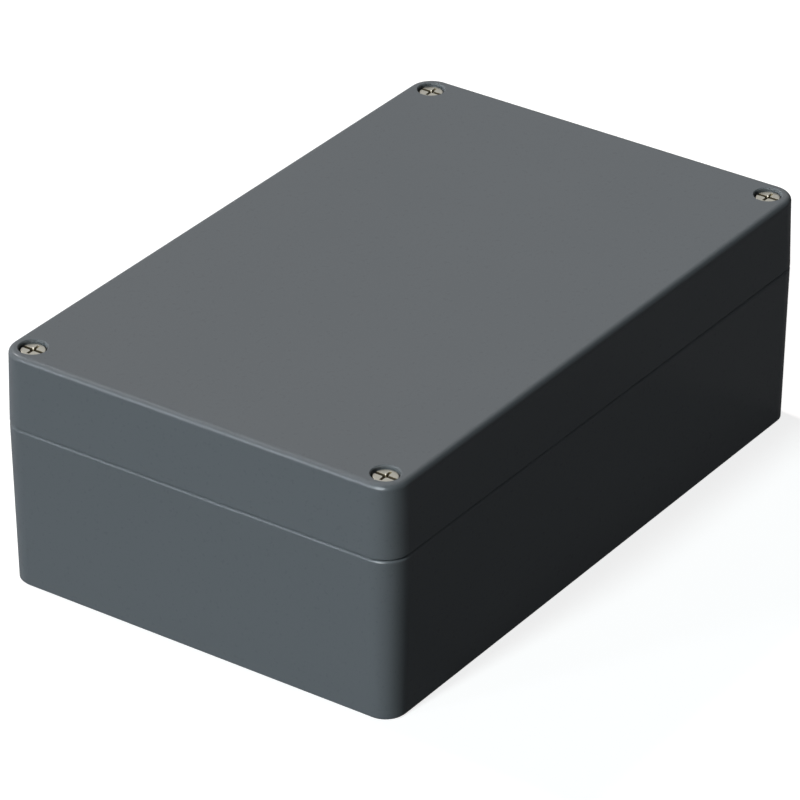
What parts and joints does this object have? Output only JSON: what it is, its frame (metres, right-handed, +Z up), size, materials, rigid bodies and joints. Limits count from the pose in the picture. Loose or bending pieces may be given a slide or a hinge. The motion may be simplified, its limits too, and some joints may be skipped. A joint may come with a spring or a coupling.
{
  "type": "die cast aluminium enclosure",
  "caption": "Rectangular die cast aluminium box with a seal, a screwed lid on captive screws, wall fixing channels, plate bosses and an earth terminal.",
  "frame": {"origin": "centre of the underside", "axes": "+X along the length, +Y across the width, +Z up through the lid"},
  "size_m": [0.28, 0.18, 0.1],
  "materials": {
    "casting": "satin",
    "lid_screw": "satin",
    "zinc_plated": "satin",
    "gasket": "matte",
    "ring": "matte"
  },
  "bodies": {
    "base": {"base_casting": "casting"},
    "lid": {"lid_casting": "casting", "lid_gasket": "gasket"},
    "ring_front_left": {"captive_ring_front_left": "ring"},
    "screw_front_left": {"lid_screw_front_left": "lid_screw"},
    "ring_back_left": {"captive_ring_back_left": "ring"},
    "screw_back_left": {"lid_screw_back_left": "lid_screw"},
    "ring_front_right": {"captive_ring_front_right": "ring"},
    "screw_front_right": {"lid_screw_front_right": "lid_screw"},
    "ring_back_right": {"captive_ring_back_right": "ring"},
    "screw_back_right": {"lid_screw_back_right": "lid_screw"},
    "earth_washers": {"earth_clamp_washer": "zinc_plated", "earth_spring_washer": "zinc_plated"},
    "earth_terminal_screw": {"earth_screw": "zinc_plated"}
  },
  "joints": [
    {"name": "lid_lift", "type": "slide", "parent": "base", "child": "lid", "axis": [0, 0, 1], "range_m": [0, 0.12]},
    {"name": "screw_rise_front_left", "type": "slide", "parent": "lid", "child": "ring_front_left", "axis": [0, 0, 1], "range_m": [0, 0.013]},
    {"name": "screw_turn_front_left", "type": "hinge", "parent": "ring_front_left", "child": "screw_front_left", "pos_m": [-0.13, -0.08, 0.0949], "axis": [0, 0, 1], "range_deg": [0, 4680]},
    {"name": "screw_rise_back_left", "type": "slide", "parent": "lid", "child": "ring_back_left", "axis": [0, 0, 1], "range_m": [0, 0.013]},
    {"name": "screw_turn_back_left", "type": "hinge", "parent": "ring_back_left", "child": "screw_back_left", "pos_m": [-0.13, 0.08, 0.0949], "axis": [0, 0, 1], "range_deg": [0, 4680]},
    {"name": "screw_rise_front_right", "type": "slide", "parent": "lid", "child": "ring_front_right", "axis": [0, 0, 1], "range_m": [0, 0.013]},
    {"name": "screw_turn_front_right", "type": "hinge", "parent": "ring_front_right", "child": "screw_front_right", "pos_m": [0.13, -0.08, 0.0949], "axis": [0, 0, 1], "range_deg": [0, 4680]},
    {"name": "screw_rise_back_right", "type": "slide", "parent": "lid", "child": "ring_back_right", "axis": [0, 0, 1], "range_m": [0, 0.013]},
    {"name": "screw_turn_back_right", "type": "hinge", "parent": "ring_back_right", "child": "screw_back_right", "pos_m": [0.13, 0.08, 0.0949], "axis": [0, 0, 1], "range_deg": [0, 4680]},
    {"name": "earth_rise", "type": "slide", "parent": "base", "child": "earth_washers", "axis": [0, 0, 1], "range_m": [0, 0.006]},
    {"name": "earth_turn", "type": "hinge", "parent": "earth_washers", "child": "earth_terminal_screw", "pos_m": [-0.12, 0, 0.0105], "axis": [0, 0, 1], "range_deg": [0, 2160]}
  ],
  "couplings": [
    {"joint": "screw_turn_front_left", "follows": "screw_rise_front_left", "rad_per_m": 6283.2},
    {"joint": "screw_turn_back_left", "follows": "screw_rise_back_left", "rad_per_m": 6283.2},
    {"joint": "screw_turn_front_right", "follows": "screw_rise_front_right", "rad_per_m": 6283.2},
    {"joint": "screw_turn_back_right", "follows": "screw_rise_back_right", "rad_per_m": 6283.2},
    {"joint": "earth_turn", "follows": "earth_rise", "rad_per_m": 6283.2}
  ]
}
